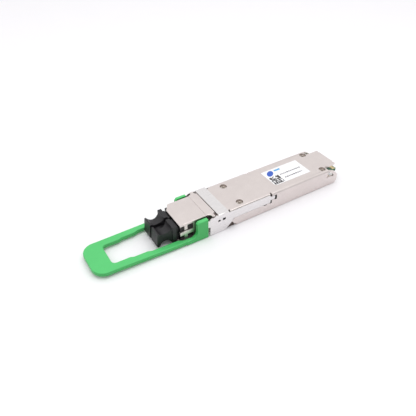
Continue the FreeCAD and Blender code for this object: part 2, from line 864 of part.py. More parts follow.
def grip_waists():
    """Plans of what is taken off outside the grips and between them, so that each has a waist."""
    front, rear = dim.scoop_front, dim.plug_flange_front
    outside = dim.plug_half + 1
    inside = dim.plug_gap / 2
    half, bend = dim.plug_half, dim.waist_outside
    left = [(front, outside), (front, half, bend), (rear, half), (rear, outside)]
    right = [(rear, -outside), (rear, -half, bend), (front, -half), (front, -outside)]
    between = [
        (front, -inside),
        (front, inside, -dim.waist_inside),
        (rear, inside),
        (rear, -inside, -dim.waist_inside),
    ]
    return left, right, between


def make_dust_plug():
    """Rubber plug for both ports: two finger grips joined by a web, each with a hollow prong."""
    plug = Casting("dust_plug")
    for low, high in both_sides(dim.plug_gap / 2, dim.plug_half):
        plug.pad("XZ", [grip_profile()], low, high)
    for waist in grip_waists():
        plug.pocket("XY", [waist], dim.plug_low - 1, dim.plug_top + 1)
    web = rectangle((dim.scoop_front + 1, dim.plug_flange_rear), (-dim.plug_gap, dim.plug_gap))
    middle = (dim.grip_low + dim.grip_top) / 2
    plug.pad("XY", [web], middle - 1.0, middle + 0.6)
    for low, high in both_sides(dim.plug_gap / 2, dim.plug_flange_half):
        flange = rectangle((dim.plug_flange_front, dim.plug_flange_back), (dim.plug_low, dim.plug_top))
        plug.pad("XZ", [flange], low, high)
    for low, high in both_sides(dim.plug_gap / 2, dim.plug_half - 0.2):
        neck = rectangle((dim.plug_flange_back - 0.1, dim.plug_flange_rear), (dim.grip_low, dim.grip_top + 0.2))
        plug.pad("XZ", [neck], low, high)
    for side in SCREW_SIDES:
        axis_y = side * dim.port_pitch / 2
        tall = dim.prong_half_height
        across = (axis_y - dim.prong_half, axis_y + dim.prong_half)
        prong = rectangle(across, (dim.port_axis_z - tall, dim.port_axis_z + tall))
        rear = dim.plug_flange_rear + dim.prong_depth
        plug.pad("YZ", [prong], dim.plug_flange_rear - 0.5, rear)
        bore = [(axis_y, dim.port_axis_z, dim.prong_bore)]
        plug.pocket("YZ", [], dim.plug_flange_rear - 0.6, rear + 1, bore)
    return plug.finish()


def make_port_insert():
    """Moulded insert with the two connector ports and their latch keyways."""
    insert = Casting("port_insert")
    half = dim.nose_half - dim.nose_wall - 0.05
    front, rear = dim.nose_front + 0.4, -11.8
    insert.pad("YZ", [rectangle((-half, half), (dim.parting, 8.55))], front, rear)
    for side in SCREW_SIDES:
        y = side * dim.port_pitch / 2
        z = dim.port_axis_z
        port = rectangle((y - dim.port_half, y + dim.port_half), (z - 2.6, z + 2.6))
        insert.pocket("YZ", [port], front - 1, rear - 1.5)
        keyway = rectangle((y - 1.0, y + 1.0), (z + 2.5, z + 3.4))
        insert.pocket("YZ", [keyway], front - 1, rear - 2.5)
        insert.pocket("YZ", [], front, rear + 1, [(y, z, dim.barrel_radius + 0.04)])
    return insert.finish()


def make_optical_train(label, side):
    """Barrel, split sleeve, fibre stub, optical package and flex circuit of one channel."""
    centre = (side * dim.port_pitch / 2, dim.port_axis_z)
    tube = cylinder(f"{label}_tube", dim.barrel_radius, dim.barrel_front, -3.9, centre)
    shoulder = cylinder(f"{label}_shoulder", 2.2, -5.4, -3.9, centre)
    whole = fuse(f"{label}_tube_whole", tube, shoulder)
    mouth = cylinder(f"{label}_mouth", dim.mouth_radius, dim.barrel_front - 1, dim.sleeve_front + 0.1, centre)
    seat = cylinder(f"{label}_seat", dim.sleeve_radius, dim.sleeve_front, dim.stub_front, centre)
    bore = cylinder(f"{label}_bore", dim.stub_radius, dim.stub_front - 0.01, -3.0, centre)
    name_subpart(cut(f"{label}_barrel", whole, mouth, seat, bore), f"{label}_barrel")

    sleeve = cylinder(f"{label}_sleeve_outside", dim.sleeve_radius, dim.sleeve_front, dim.stub_front, centre)
    hole = cylinder(f"{label}_sleeve_bore", dim.ferrule_radius, dim.sleeve_front - 1, dim.stub_front + 1, centre)
    slit = box(f"{label}_sleeve_slit", (dim.sleeve_front - 1, dim.stub_front + 1),
               (centre[0] - 0.1, centre[0] + 0.1), (centre[1], centre[1] + 2))
    name_subpart(cut(f"{label}_split_sleeve", sleeve, hole, slit), f"{label}_split_sleeve")

    stub = cylinder(f"{label}_fibre_stub", dim.stub_radius, dim.stub_front, -5.0, centre)
    name_subpart(stub, f"{label}_fibre_stub")

    can = box(f"{label}_can", (-3.9, 3.7), (centre[0] - 2.6, centre[0] + 2.6), (2.2, 6.9))
    lid = box(f"{label}_lid", (-3.5, 3.3), (centre[0] - 2.3, centre[0] + 2.3), (6.9, 7.15))
    name_subpart(fuse(f"{label}_optical_package", can, lid), f"{label}_optical_package")

    ribbon = Casting(f"{label}_flex_circuit")
    board_top = dim.board_low + dim.board_thickness
    path = [
        (3.7, 5.6),
        (4.8, 5.6),
        (7.4, board_top),
        (11.0, board_top),
        (11.0, board_top + 0.15),
        (7.5, board_top + 0.15),
        (4.9, 5.75),
        (3.7, 5.75),
    ]
    inside, outside = sorted((side * 1.2, side * 3.9))
    ribbon.pad("XZ", [path], inside, outside)
    ribbon.finish()


def make_optics_clamp():
    """Stamped clamp that holds both barrels down on the base, and its screw."""
    top = dim.port_axis_z + dim.barrel_radius
    centre = (dim.clamp_screw_x, 0)
    front, rear, half = dim.clamp_front, dim.clamp_rear, dim.clamp_half
    plate = box("clamp_plate", (front, rear), (-half, half), (top, top + 0.5))
    leg = box("clamp_leg", (front + 0.2, rear - 0.2), (-1.2, 1.2), (dim.parting, top))
    hole = cylinder("clamp_hole", 0.65, 0, 8, centre, "z")
    name_subpart(cut("optics_clamp", fuse("clamp_blank", plate, leg), hole), "optics_clamp")
    shank = cylinder("clamp_shank", 0.6, 0.4, top + 0.5, centre, "z")
    head = cylinder("clamp_head", 1.1, top + 0.5, top + 1.1, centre, "z")
    slot = (dim.clamp_screw_x - 0.7, dim.clamp_screw_x + 0.7)
    drive = box("clamp_drive", slot, (-0.15, 0.15), (top + 0.8, top + 2))
    name_subpart(cut("clamp_screw", fuse("clamp_screw_blank", shank, head), drive), "clamp_screw")


def make_cover_screws():
    """Four identical cover screws with cross-recessed heads."""
    screws = []
    top = dim.body_height - dim.head_drop
    reach, half = dim.recess_reach, dim.recess_width / 2
    for number, (x, y) in enumerate(screw_places()):
        shank = cylinder(f"cover_screw_shank_{number}", dim.screw_radius, 0.5, top - 0.1, (x, y), "z")
        head = cylinder(f"cover_screw_head_{number}", dim.head_radius, top - dim.head_height, top, (x, y), "z")
        bars = [
            box(f"cover_screw_slot_{number}", (x - reach, x + reach), (y - half, y + half), (top - 0.5, top + 1)),
            box(f"cover_screw_cross_{number}", (x - half, x + half), (y - reach, y + reach), (top - 0.5, top + 1)),
        ]
        blank = fuse(f"cover_screw_blank_{number}", shank, head)
        screws.append(cut(f"cover_screw_{number}", blank, *bars))
    name_subpart(group("cover_screws", screws), "cover_screws")


def make_nose_screws():
    """Two small screws, from below, that hold the nose shell to the base."""
    screws = []
    for number, place in enumerate(nose_screw_places()):
        shank = cylinder(f"nose_shank_{number}", dim.nose_screw_radius, 0.3, 2.7, place, "z")
        head = cylinder(f"nose_head_{number}", dim.nose_screw_head, 0.1, 0.65, place, "z")
        screws.append(fuse(f"nose_screw_{number}", shank, head))
    name_subpart(group("nose_screws", screws), "nose_screws")


def make_return_springs():
    """Two compression springs that push the slider back to its latched place."""
    for label, side in (("return_spring_right", -1), ("return_spring_left", 1)):
        coil = doc.addObject("Part::Helix", f"{label}_path")
        bind(coil, "Radius", dim.spring_radius)
        bind(coil, "Pitch", dim.spring_pitch)
        bind(coil, "Height", dim.lug_x - dim.spring_start - 2 * dim.spring_wire - 0.1)
        wire = doc.addObject("Part::Circle", f"{label}_wire")
        bind(wire, "Radius", dim.spring_wire)
        bind(wire, "Placement.Base.x", dim.spring_radius)
        wire.Placement.Rotation = Rotation(Vector(1, 0, 0), 90)
        spring = doc.addObject("Part::Sweep", label)
        spring.Sections = [wire]
        spring.Spine = (coil, ["Edge1"])
        spring.Solid = True
        spring.Frenet = True
        spring.Placement = Placement(Vector(), Rotation(Vector(0, 1, 0), 90))
        start = dim.spring_start + dim.spring_wire + 0.03
        name_subpart(spring, label, (start, side * dim.spring_y, dim.spring_z))


def board_outline():
    """Plan of the circuit board, with bevelled corners at its card edge."""
    bevel = 0.5
    half = dim.board_half
    tail = dim.tail_half
    return [
        (dim.board_front, -half),
        (dim.tail_front, -half),
        (dim.tail_front, -tail),
        (dim.board_rear - bevel, -tail),
        (dim.board_rear, bevel - tail),
        (dim.board_rear, tail - bevel),
        (dim.board_rear - bevel, tail),
        (dim.tail_front, tail),
        (dim.tail_front, half),
        (dim.board_front, half),
    ]


def make_main_board():
    """Circuit board whose rear end is the card edge that plugs into the host."""
    board = Casting("main_board")
    board.pad("XY", [board_outline()], dim.board_low, dim.board_low + dim.board_thickness)
    reliefs = [(dim.rear_screw_x, side * dim.rear_screw_y, dim.boss_radius + 0.2) for side in SCREW_SIDES]
    board.pocket("XY", [], dim.board_low - 1, dim.board_low + dim.board_thickness + 1, reliefs)
    return board.finish()


def make_contact_pads():
    """Gold contact pads: one row on each face of the card edge."""
    pads = []
    thickness = 0.05
    top = dim.board_low + dim.board_thickness
    faces = ((top, top + thickness), (dim.board_low - thickness, dim.board_low))
    along = (dim.board_rear - dim.pad_setback - dim.pad_length, dim.board_rear - dim.pad_setback)
    for face_number, face in enumerate(faces):
        for column in range(PADS_PER_ROW):
            y = (column - (PADS_PER_ROW - 1) / 2) * dim.pad_pitch
            across = (y - dim.pad_width / 2, y + dim.pad_width / 2)
            pads.append(box(f"pad_{face_number}_{column}", along, across, face))
    name_subpart(group("contact_pads", pads), "contact_pads")


def make_chip(label, x, y, height, lid=0.0):
    """A chip on the board's top face, with a raised lid if it has one."""
    top = dim.board_low + dim.board_thickness
    package = box(f"{label}_package", x, y, (top, top + height))
    if lid:
        inset = 1.2
        raised = box(f"{label}_lid", (x[0] + inset, x[1] - inset), (y[0] + inset, y[1] - inset),
                     (top + height, top + height + lid))
        package = fuse(f"{label}_whole", package, raised)
    name_subpart(package, label)


def make_passives():
    """Inductors in a row beside the controller, and small capacitors round the signal processor."""
    top = dim.board_low + dim.board_thickness
    inductors = [
        box(f"inductor_{n}", (36.5 + 3.2 * n, 39.0 + 3.2 * n), (-7.4, -5.2), (top, top + 1.3))
        for n in range(3)
    ]
    name_subpart(group("power_inductors", inductors), "power_inductors")
    capacitors = []
    for side in SCREW_SIDES:
        for n in range(8):
            start = 21.4 + 1.7 * n
            low, high = sorted((side * 6.5, side * 7.0))
            capacitors.append(box(f"capacitor_{side + 1}_{n}", (start, start + 1.0), (low, high), (top, top + 0.5)))
    name_subpart(group("capacitors", capacitors), "capacitors")


def make_board_parts():
    top = dim.board_low + dim.board_thickness
    roof = dim.body_height - dim.roof
    make_chip("signal_processor", (21.5, 34.0), (-6.0, 6.0), 1.1, 0.5)
    make_chip("laser_driver", (13.0, 16.4), (1.3, 4.3), 0.8)
    make_chip("receiver_amplifier", (13.0, 16.4), (-4.3, -1.3), 0.8)
    make_chip("microcontroller", (37.5, 42.5), (-2.5, 2.5), 0.9)
    make_chip("clock_crystal", (38.0, 40.5), (4.2, 6.2), 0.7)
    make_passives()
    name_subpart(box("processor_pad", (23.2, 32.3), (-4.3, 4.3), (top + 1.6, roof)), "processor_thermal_pad")
    name_subpart(box("optics_pad", (-3.2, 3.0), (-5.2, 5.2), (7.15, roof)), "optics_thermal_pad")
    name_subpart(box("base_pad", (22.5, 33.5), (-3.8, 3.8), (dim.board_low - 1.5, dim.board_low)),
                 "base_thermal_pad")


def make_shell_gasket():
    """Two conductive strips in the seam between the housings."""
    half = dim.body_width / 2
    strips = [
        box(f"gasket_{n}", (24.0, 48.0), stretch, (dim.parting - 0.3, dim.parting))
        for n, stretch in enumerate(both_sides(half - 0.65, half - 0.3))
    ]
    name_subpart(group("shell_gasket", strips), "shell_gasket")


def make_label():
    """Paper label in a shallow recess of the roof, with its corners cut."""
    label = Casting("rating_label")
    outline = [
        (dim.label_front + dim.label_cut, -dim.label_half),
        (dim.label_rear, -dim.label_half),
        (dim.label_rear, dim.label_half),
        (dim.label_front, dim.label_half),
        (dim.label_front, dim.label_cut - dim.label_half),
    ]
    label.pad("XY", [outline], dim.body_height - dim.label_recess, dim.body_height - 0.01)
    label.finish()


def make_everything():
    make_upper_housing()
    make_lower_housing()
    make_nose_shell()
    make_latch_slider()
    make_pull_tab()
    make_dust_plug()
    make_port_insert()
    for label, side in (("transmit", 1), ("receive", -1)):
        make_optical_train(label, side)
    make_optics_clamp()
    make_cover_screws()
    make_nose_screws()
    make_return_springs()
    make_main_board()
    make_contact_pads()
    make_board_parts()
    make_shell_gasket()
    make_label()


def check_document():
    """Stop if any object failed to rebuild or any sub-part has no valid solid shape."""
    for thing in doc.Objects:
        if "Invalid" in thing.State or "Error" in thing.State:
            raise RuntimeError(f"{thing.Name} failed: {thing.State}")
    for thing in subparts:
        if thing.Shape.isNull() or not thing.Shape.isValid() or not thing.Shape.Solids:
            raise RuntimeError(f"{thing.Label} has no valid shape")


def write_parts():
    os.makedirs("parts", exist_ok=True)
    for thing in subparts:
        thing.Shape.exportStep(os.path.join("parts", f"{thing.Label}.step"))
        solids = len(thing.Shape.Solids)
        print(f"{thing.Label}: {solids} solid(s), {thing.Shape.Volume:.2f} mm3")


fill_sheet()
make_everything()
doc.recompute()
check_document()
write_parts()
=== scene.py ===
import math
import random

import bmesh
import bpy
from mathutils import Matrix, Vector


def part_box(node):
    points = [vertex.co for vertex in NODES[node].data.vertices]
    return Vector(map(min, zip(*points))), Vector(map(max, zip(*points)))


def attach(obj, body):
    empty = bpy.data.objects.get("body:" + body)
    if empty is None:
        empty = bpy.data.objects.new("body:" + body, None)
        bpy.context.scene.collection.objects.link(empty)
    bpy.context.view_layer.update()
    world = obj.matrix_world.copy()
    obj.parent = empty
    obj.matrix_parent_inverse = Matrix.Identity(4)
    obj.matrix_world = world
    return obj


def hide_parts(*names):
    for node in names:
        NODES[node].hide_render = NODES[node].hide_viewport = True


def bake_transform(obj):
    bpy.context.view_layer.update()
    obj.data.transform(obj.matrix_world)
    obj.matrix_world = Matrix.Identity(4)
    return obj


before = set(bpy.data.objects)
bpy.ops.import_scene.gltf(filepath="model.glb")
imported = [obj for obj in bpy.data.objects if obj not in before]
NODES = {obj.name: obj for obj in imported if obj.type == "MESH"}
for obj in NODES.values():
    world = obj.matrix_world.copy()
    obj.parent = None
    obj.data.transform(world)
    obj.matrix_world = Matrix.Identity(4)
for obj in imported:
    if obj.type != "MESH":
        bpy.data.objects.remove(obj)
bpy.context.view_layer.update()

# Looks of the pluggable optical transceiver module: finishes, worn edges, printed label, copies of the return
# springs, studio and camera. Blender works in metres in the frame of the imported model. Lengths named here
# are in millimetres and are turned into metres with MM, except in the studio section, which is in metres.

MM = 0.001

WELD_REACH = 0.002
SMOOTH_BELOW_DEG = 32
BEVEL_ABOVE_DEG = 38

# Width of the rounded edges of each CAD node. The nodes that are not named here keep their edges.
EDGE_WIDTHS = {
    "upper_housing": 0.12,
    "lower_housing": 0.1,
    "nose_shell": 0.1,
    "latch_slider": 0.07,
    "pull_tab": 0.1,
    "dust_plug": 0.3,
    "port_insert": 0.1,
    "cover_screws": 0.05,
    "nose_screws": 0.04,
    "optics_clamp": 0.06,
    "signal_processor": 0.05,
}


# ---------------------------------------------------------------- shader helpers

class Shader:
    """A node material with one Principled shader and short calls for the nodes that feed it."""

    def __init__(self, name):
        self.material = bpy.data.materials.new(name)
        self.material.use_nodes = True
        self.tree = self.material.node_tree
        self.tree.nodes.clear()
        output = self.tree.nodes.new("ShaderNodeOutputMaterial")
        self.bsdf = self.tree.nodes.new("ShaderNodeBsdfPrincipled")
        self.tree.links.new(self.bsdf.outputs["BSDF"], output.inputs["Surface"])
        self.place = self.millimetres()

    def node(self, kind, **inputs):
        made = self.tree.nodes.new(kind)
        for key, value in inputs.items():
            self.feed(made.inputs[key.replace("_", " ")], value)
        return made

    def feed(self, socket, value):
        """Link value to the socket if it is another node's output, and set it there if it is plain."""
        if isinstance(value, bpy.types.NodeSocket):
            self.tree.links.new(value, socket)
        else:
            socket.default_value = value

    def millimetres(self, stretch=(1, 1, 1)):
        """Object coordinates in millimetres, so that a texture's Scale reads as repeats per millimetre."""
        coordinates = self.tree.nodes.new("ShaderNodeTexCoord")
        mapping = self.tree.nodes.new("ShaderNodeMapping")
        mapping.inputs["Scale"].default_value = [1000 * s for s in stretch]
        self.tree.links.new(coordinates.outputs["Object"], mapping.inputs["Vector"])
        return mapping.outputs["Vector"]

    def noise(self, scale, detail=2.0, roughness=0.5, place=None):
        made = self.node("ShaderNodeTexNoise", Vector=place or self.place, Scale=scale, Detail=detail,
                         Roughness=roughness)
        return made.outputs["Fac"]

    def stripes(self, scale):
        """Stripes that run along X."""
        made = self.node("ShaderNodeTexWave", Vector=self.place, Scale=scale)
        made.bands_direction = "Y"
        return made.outputs["Fac"]

    def span(self, factor, low, high, start=0.0, end=1.0):
        """factor from start to end becomes low to high."""
        made = self.node("ShaderNodeMapRange", Value=factor, From_Min=start, From_Max=end,
                         To_Min=low, To_Max=high)
        return made.outputs["Result"]

    def facing_up(self):
        """1 on faces that look up and 0 on upright ones."""
        coordinates = self.tree.nodes.new("ShaderNodeTexCoord")
        parts = self.node("ShaderNodeSeparateXYZ", Vector=coordinates.outputs["Normal"])
        return self.span(parts.outputs["Z"], 0.0, 1.0, 0.2, 0.8)

    def maths(self, operation, a, b):
        made = self.tree.nodes.new("ShaderNodeMath")
        made.operation = operation
        self.feed(made.inputs[0], a)
        self.feed(made.inputs[1], b)
        return made.outputs[0]

    def mix(self, factor, a, b):
        """a where factor is 0 and b where it is 1. Each is a node's output or an sRGB triple."""
        made = self.tree.nodes.new("ShaderNodeMix")
        made.data_type = "RGBA"
        self.feed(made.inputs["Factor"], factor)
        for socket, tone in (("A", a), ("B", b)):
            self.feed(made.inputs[socket], tone if isinstance(tone, bpy.types.NodeSocket) else colour(tone))
        return made.outputs["Result"]

    def bump(self, height, distance, strength, under=None):
        """A bump of distance millimetres, on top of the bump named under."""
        made = self.node("ShaderNodeBump", Height=height, Distance=distance * MM, Strength=strength)
        if under is not None:
            self.feed(made.inputs["Normal"], under)
        return made.outputs["Normal"]

    def set(self, **inputs):
        for key, value in inputs.items():
            self.feed(self.bsdf.inputs[key.replace("_", " ")], value)
        return self


def colour(srgb):
    """Linear RGBA from an sRGB triple of 0 to 255."""
    linear = [((v / 255 + 0.055) / 1.055) ** 2.4 if v > 10 else v / 255 / 12.92 for v in srgb]
    return (*linear, 1.0)


# ---------------------------------------------------------------- finishes

def plated_metal(name, light, dark, rough, grain=1.0):
    """Satin nickel plate on a casting or stamping: fine grain, faint clouding, slightly uneven gloss."""
    s = Shader(name)
    clouds = s.noise(0.22, 4.0, 0.6)
    specks = s.noise(3.2, 4.0, 0.75)
    base = s.mix(s.span(clouds, 0.2, 0.7, 0.3, 0.7), dark, light)
    base = s.mix(s.span(specks, 0.0, 0.9, 0.42, 0.68), base, dark)
    cloud_gloss = s.span(clouds, -0.02, 0.03, 0.3, 0.7)
    gloss = s.maths("ADD", cloud_gloss, s.span(specks, rough - 0.04, rough + 0.05, 0.3, 0.7))
    orange_peel = s.bump(s.noise(1.3, 2.0), 0.002 * grain, 0.5)
    fine = s.bump(s.noise(9.0, 3.0, 0.65), 0.003 * grain, 0.8, orange_peel)
    return s.set(Base_Color=base, Metallic=1.0, Roughness=gloss, Normal=fine).material


def worn_edge(name, tone, rough):
    """The same plate where handling has polished the edges."""
    s = Shader(name)
    rubs = s.noise(1.6, 3.0, 0.7)
    base = s.mix(s.span(rubs, 0.0, 1.0, 0.35, 0.65), tone, (246, 243, 240))
    gloss = s.span(rubs, rough + 0.06, rough - 0.05, 0.3, 0.7)
    return s.set(Base_Color=base, Metallic=1.0, Roughness=gloss, Normal=s.bump(rubs, 0.004, 0.4)).material


def brushed_steel(name, tone, rough):
    """Rolled sheet: long fine lines along X, bright and slightly mottled."""
    s = Shader(name)
    lines = s.noise(6.0, 3.0, 0.7, s.millimetres((0.08, 1, 1)))
    clouds = s.noise(0.35, 3.0, 0.6)
    base = s.mix(s.span(lines, 0.0, 0.6, 0.35, 0.7), tone, (205, 203, 202))
    line_gloss = s.span(lines, rough - 0.03, rough + 0.05, 0.3, 0.7)
    gloss = s.maths("ADD", line_gloss, s.span(clouds, -0.02, 0.02, 0.3, 0.7))
    normal = s.bump(lines, 0.0015, 0.4, s.bump(s.noise(1.1), 0.0015, 0.4))
    return s.set(Base_Color=base, Metallic=1.0, Roughness=gloss, Normal=normal).material


def moulded(name, light, dark, rough, painted_side_shade=None):
    """Moulded polymer: fine texture and faint flow clouding. Upright walls take a darker side tone, if given,
    as painted shade for the dimmer light on them.
    """
    s = Shader(name)
    flow = s.noise(0.12, 3.0, 0.55, s.millimetres((0.5, 1, 1)))
    grain = s.noise(7.0, 3.0, 0.7)
    base = s.mix(s.span(flow, 0.0, 1.0, 0.3, 0.7), dark, light)
    base = s.mix(s.span(grain, 0.0, 0.18, 0.45, 0.7), base, dark)
    # Painted shade: faces that do not look up get the darker side tone.
    if painted_side_shade:
        base = s.mix(s.facing_up(), painted_side_shade, base)
    grain_gloss = s.span(grain, rough - 0.06, rough + 0.06, 0.3, 0.7)
    gloss = s.maths("ADD", grain_gloss, s.span(flow, -0.03, 0.03, 0.3, 0.7))
    normal = s.bump(grain, 0.006, 0.7, s.bump(s.noise(0.8), 0.006, 0.4))
    return s.set(Base_Color=base, Roughness=gloss, Normal=normal, Specular_IOR_Level=0.5).material


def rubber(name):
    """Black elastomer with lighter scuffs on raised spots."""
    s = Shader(name)
    scuffs = s.noise(1.1, 5.0, 0.7)
    grain = s.noise(8.0, 3.0, 0.7)
    base = s.mix(s.span(scuffs, 0.0, 1.0, 0.52, 0.74), (22, 20, 24), (52, 50, 55))
    base = s.mix(s.span(grain, 0.0, 0.3, 0.4, 0.7), base, (15, 14, 17))
    gloss = s.maths("ADD", s.span(scuffs, 0.4, 0.58, 0.35, 0.7), s.span(grain, -0.05, 0.06, 0.3, 0.7))
    normal = s.bump(grain, 0.008, 0.8, s.bump(s.noise(0.9, 3.0), 0.02, 0.5))
    return s.set(Base_Color=base, Roughness=gloss, Normal=normal, Specular_IOR_Level=0.5).material


def gold_plate(name):
    """Contact gold, worn along X where it slides into the socket."""
    s = Shader(name)
    wear = s.noise(2.5, 3.0, 0.6, s.millimetres((0.3, 1, 1)))
    base = s.mix(s.span(wear, 0.0, 1.0, 0.35, 0.7), (240, 218, 176), (222, 194, 146))
    gloss = s.span(wear, 0.2, 0.34, 0.3, 0.7)
    return s.set(Base_Color=base, Metallic=1.0, Roughness=gloss, Normal=s.bump(wear, 0.002, 0.5)).material


def solder_mask(name):
    """Green mask over copper, with lighter raised traces that run along X under it and break off."""
    s = Shader(name)
    breaks = s.noise(0.25, 1.0, 0.5, s.millimetres((0.35, 1, 1)))
    unbroken = s.span(breaks, 0.0, 1.0, 0.47, 0.52)
    trace = s.maths("MULTIPLY", s.span(s.stripes(0.42), 0.0, 1.0, 0.45, 0.6), unbroken)
    base = s.mix(trace, (22, 92, 58), (42, 128, 82))
    base = s.mix(s.span(s.noise(6.0, 2.0), 0.0, 0.2, 0.4, 0.7), base, (12, 66, 40))
    normal = s.bump(trace, 0.02, 0.7, s.bump(s.noise(5.0), 0.003, 0.5))
    return s.set(Base_Color=base, Roughness=s.span(breaks, 0.28, 0.4, 0.3, 0.7), Normal=normal).material


def fine_grained(name, light, dark, rough, scale=3.0):
    """Ceramic, moulding compound, ferrite or filler: two close tones in fine grains."""
    s = Shader(name)
    grains = s.noise(scale, 4.0, 0.65)
    base = s.mix(s.span(grains, 0.0, 1.0, 0.35, 0.65), dark, light)
    gloss = s.span(grains, rough - 0.05, rough + 0.08, 0.3, 0.7)
    return s.set(Base_Color=base, Roughness=gloss, Normal=s.bump(grains, 0.006, 0.6)).material


def flex_film(name):
    """Amber polyimide flex with darker copper lines."""
    s = Shader(name)
    trace = s.span(s.stripes(0.55), 0.0, 1.0, 0.4, 0.6)
    base = s.mix(trace, (196, 122, 38), (148, 84, 28))
    gloss = s.span(s.noise(2.0), 0.2, 0.32)
    return s.set(Base_Color=base, Roughness=gloss, Normal=s.bump(trace, 0.01, 0.6)).material


def label_paper(name):
    """White coated label stock with a faint fibre mottle."""
    s = Shader(name)
    fibres = s.noise(4.0, 5.0, 0.7, s.millimetres((0.5, 1, 1)))
    base = s.mix(s.span(fibres, 0.0, 1.0, 0.35, 0.7), (250, 250, 251), (241, 241, 244))
    gloss = s.span(fibres, 0.38, 0.5, 0.3, 0.7)
    return s.set(Base_Color=base, Roughness=gloss, Normal=s.bump(fibres, 0.002, 0.6)).material


def ink(name, tone, dark):
    """Thermal-transfer print: slightly broken coverage over the paper."""
    s = Shader(name)
    drops = s.noise(14.0, 2.0, 0.6)
    base = s.mix(s.span(drops, 0.0, 1.0, 0.4, 0.7), dark, tone)
    gloss = s.span(drops, 0.3, 0.45, 0.3, 0.7)
    return s.set(Base_Color=base, Roughness=gloss, Normal=s.bump(drops, 0.002, 0.4)).material


# One finish for each material slot of the CAD model.
FINISHES = {
    "die_cast": plated_metal("satin_nickel", (231, 223, 220), (216, 207, 204), 0.36),
    "nose_metal": plated_metal("satin_nickel_nose", (231, 223, 220), (217, 208, 205), 0.35, 0.8),
    "stamped_steel": brushed_steel("rolled_steel", (236, 233, 233), 0.3),
    # The third green tone is painted shade for the tab's upright sides.
    "green_polymer": moulded("green_moulding", (86, 204, 116), (79, 196, 109), 0.42, painted_side_shade=(60, 174, 90)),
    "black_rubber": rubber("black_elastomer"),
    "black_plastic": moulded("black_moulding", (30, 30, 32), (19, 19, 21), 0.45),
    "barrel_steel": brushed_steel("turned_steel", (214, 212, 208), 0.22),
    "zirconia": fine_grained("white_zirconia", (244, 242, 236), (232, 229, 221), 0.2, 5.0),
    "gold_plate": gold_plate("contact_gold"),
    "flex_film": flex_film("amber_flex"),
    "screw_steel": brushed_steel("screw_zinc", (186, 175, 163), 0.32),
    "spring_steel": brushed_steel("spring_wire", (190, 188, 186), 0.22),
    "board_laminate": solder_mask("green_solder_mask"),
    "chip_package": fine_grained("moulded_package", (42, 42, 45), (28, 28, 30), 0.5, 6.0),
    "crystal_can": plated_metal("crystal_can_metal", (222, 216, 204), (204, 197, 184), 0.24),
    "ferrite": fine_grained("sintered_ferrite", (70, 68, 68), (50, 48, 49), 0.6, 4.0),
    "capacitor_ceramic": fine_grained("capacitor_body", (176, 138, 98), (150, 114, 78), 0.4, 5.0),
    "thermal_pad": fine_grained("gap_filler", (150, 168, 184), (126, 146, 166), 0.75, 2.5),
    "gasket_silicone": fine_grained("conductive_gasket", (96, 96, 98), (70, 70, 73), 0.7, 3.0),
    "label_paper": label_paper("coated_label"),
}

# What the rounded edges of these slots wear to.
EDGES = {
    "die_cast": worn_edge("satin_nickel_edge", (232, 226, 222), 0.28),
    "nose_metal": worn_edge("nose_edge", (234, 228, 224), 0.27),
    "stamped_steel": worn_edge("sheared_edge", (226, 224, 223), 0.25),
    "screw_steel": worn_edge("screw_edge", (196, 186, 174), 0.3),
}


# ---------------------------------------------------------------- surfaces of the CAD nodes

def smooth_by_angle(degrees):
    """A geometry-nodes group that shades smooth except across edges sharper than degrees."""
    tree = bpy.data.node_groups.new("smooth_by_angle", "GeometryNodeTree")
    tree.interface.new_socket("Geometry", in_out="INPUT", socket_type="NodeSocketGeometry")
    tree.interface.new_socket("Geometry", in_out="OUTPUT", socket_type="NodeSocketGeometry")
    entry = tree.nodes.new("NodeGroupInput")
    leave = tree.nodes.new("NodeGroupOutput")
    forget = tree.nodes.new("GeometryNodeRemoveAttribute")
    forget.inputs["Name"].default_value = "custom_normal"
    faces = tree.nodes.new("GeometryNodeSetShadeSmooth")
    faces.domain = "FACE"
    faces.inputs["Shade Smooth"].default_value = True
    edges = tree.nodes.new("GeometryNodeSetShadeSmooth")
    edges.domain = "EDGE"
    edges.inputs["Shade Smooth"].default_value = False
    angle = tree.nodes.new("GeometryNodeInputMeshEdgeAngle")
    sharp = tree.nodes.new("FunctionNodeCompare")
    sharp.data_type = "FLOAT"
    sharp.operation = "GREATER_THAN"
    sharp.inputs["B"].default_value = math.radians(degrees)
    link = tree.links.new
    link(entry.outputs["Geometry"], forget.inputs["Geometry"])
    link(forget.outputs["Geometry"], faces.inputs["Geometry"])
    link(faces.outputs["Geometry"], edges.inputs["Geometry"])
    link(angle.outputs["Unsigned Angle"], sharp.inputs["A"])
    link(sharp.outputs["Result"], edges.inputs["Selection"])
    link(edges.outputs["Geometry"], leave.inputs["Geometry"])
    return tree


SHADING = smooth_by_angle(SMOOTH_BELOW_DEG)


def add_weld(thing):
    thing.modifiers.new("weld", "WELD").merge_threshold = WELD_REACH * MM


def add_shading(thing):
    thing.modifiers.new("shading", "NODES").node_group = SHADING


def dress(node, edge_width):
    """Give a CAD node its finish, and where edge_width is set, real rounded edges with worn plate on them."""
    thing = NODES[node]
    slot = thing.data.materials[0].name.split(".")[0]
    thing.data.materials[0] = FINISHES[slot]
    add_weld(thing)
    if edge_width:
        bevel = thing.modifiers.new("edges", "BEVEL")
        bevel.width = edge_width * MM
        bevel.segments = 2
        bevel.limit_method = "ANGLE"
        bevel.angle_limit = math.radians(BEVEL_ABOVE_DEG)
        if slot in EDGES:
            thing.data.materials.append(EDGES[slot])
            bevel.material = 1
    add_shading(thing)
    thing.modifiers.new("flat_faces", "WEIGHTED_NORMAL").keep_sharp = True


for node in sorted(NODES):
    dress(node, EDGE_WIDTHS.get(node, 0.0))


# ---------------------------------------------------------------- pieces made here

def add_object(name, data):
    thing = bpy.data.objects.new(name, data)
    bpy.context.scene.collection.objects.link(thing)
    return thing


